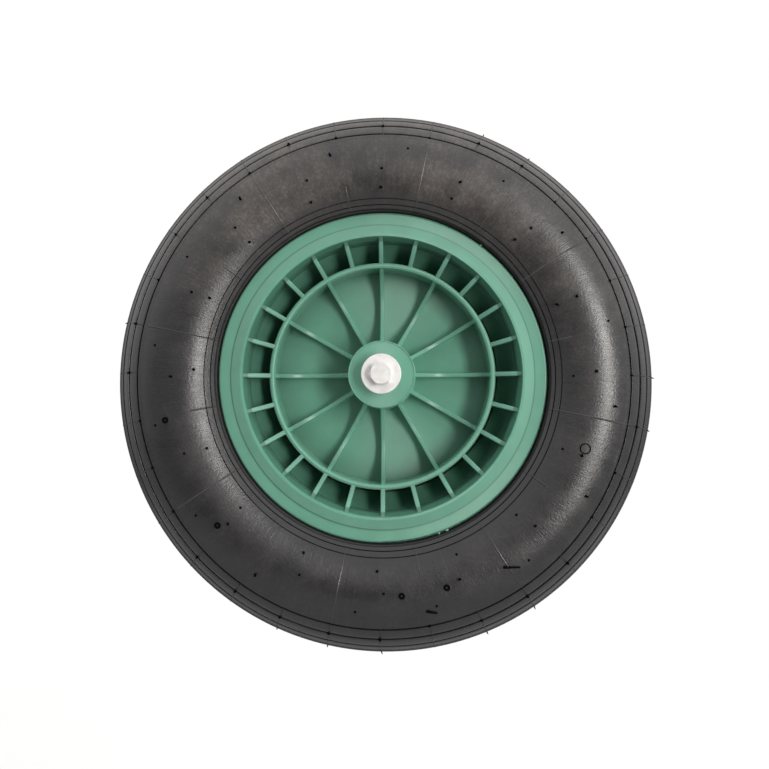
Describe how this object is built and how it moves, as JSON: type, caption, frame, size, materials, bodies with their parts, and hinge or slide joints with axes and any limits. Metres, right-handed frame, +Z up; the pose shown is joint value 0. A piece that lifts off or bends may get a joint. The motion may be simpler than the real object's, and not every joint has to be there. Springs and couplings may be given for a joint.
{
  "type": "wheelbarrow wheel",
  "caption": "Pneumatic wheelbarrow wheel: ribbed rubber tyre on a green moulded plastic rim with spokes, turning on bushes about an axle bolt with washers and lock nut.",
  "frame": {"origin": "centre of the wheel, on the axle and on the middle plane of the tyre", "axes": "+Y along the axle from the bolt head to the nut, +Z up with the wheel standing on its tread, +X to the right seen from the bolt head's side"},
  "size_m": [0.4, 0.1364, 0.4],
  "materials": {
    "tyre_rubber": "black moulded rubber with a dull sheen",
    "tube_rubber": "soft black rubber",
    "rim_plastic": "green moulded plastic, satin",
    "nylon": "natural white nylon",
    "cap_plastic": "black moulded plastic",
    "valve_brass": "machined brass",
    "zinc_steel": "bright zinc plating",
    "plain_steel": "drawn steel tube",
    "spring_steel": "drawn steel wire"
  },
  "bodies": {
    "axle": {"axle_bolt": "zinc_steel", "axle_sleeve": "plain_steel", "front_washer": "zinc_steel", "rear_washer": "zinc_steel", "axle_nut": "zinc_steel", "nut_insert": "nylon"},
    "wheel": {"rim": "rim_plastic", "tyre": "tyre_rubber", "bead_wire_front": "spring_steel", "bead_wire_rear": "spring_steel", "inner_tube": "tube_rubber", "hub_bush_front": "nylon", "hub_bush_rear": "nylon", "valve_stem": "tube_rubber", "valve_insert": "valve_brass", "valve_core": "valve_brass", "valve_spring": "spring_steel"},
    "valve_pin": {"valve_pin": "valve_brass", "valve_seal": "tube_rubber"},
    "valve_cap": {"valve_cap": "cap_plastic"}
  },
  "joints": [
    {"name": "wheel_spin", "type": "hinge", "parent": "axle", "child": "wheel", "pos_m": [0, 0, 0], "axis": [0, 1, 0], "continuous": true},
    {"name": "cap_off", "type": "slide", "parent": "wheel", "child": "valve_cap", "axis": [0, 1, 0], "range_m": [0, 0.016]},
    {"name": "pin_press", "type": "slide", "parent": "wheel", "child": "valve_pin", "axis": [0, -1, 0], "range_m": [0, 0.0012], "stiffness_N_per_m": 500, "springref_m": -0.001, "deforming": ["valve_spring"]}
  ]
}
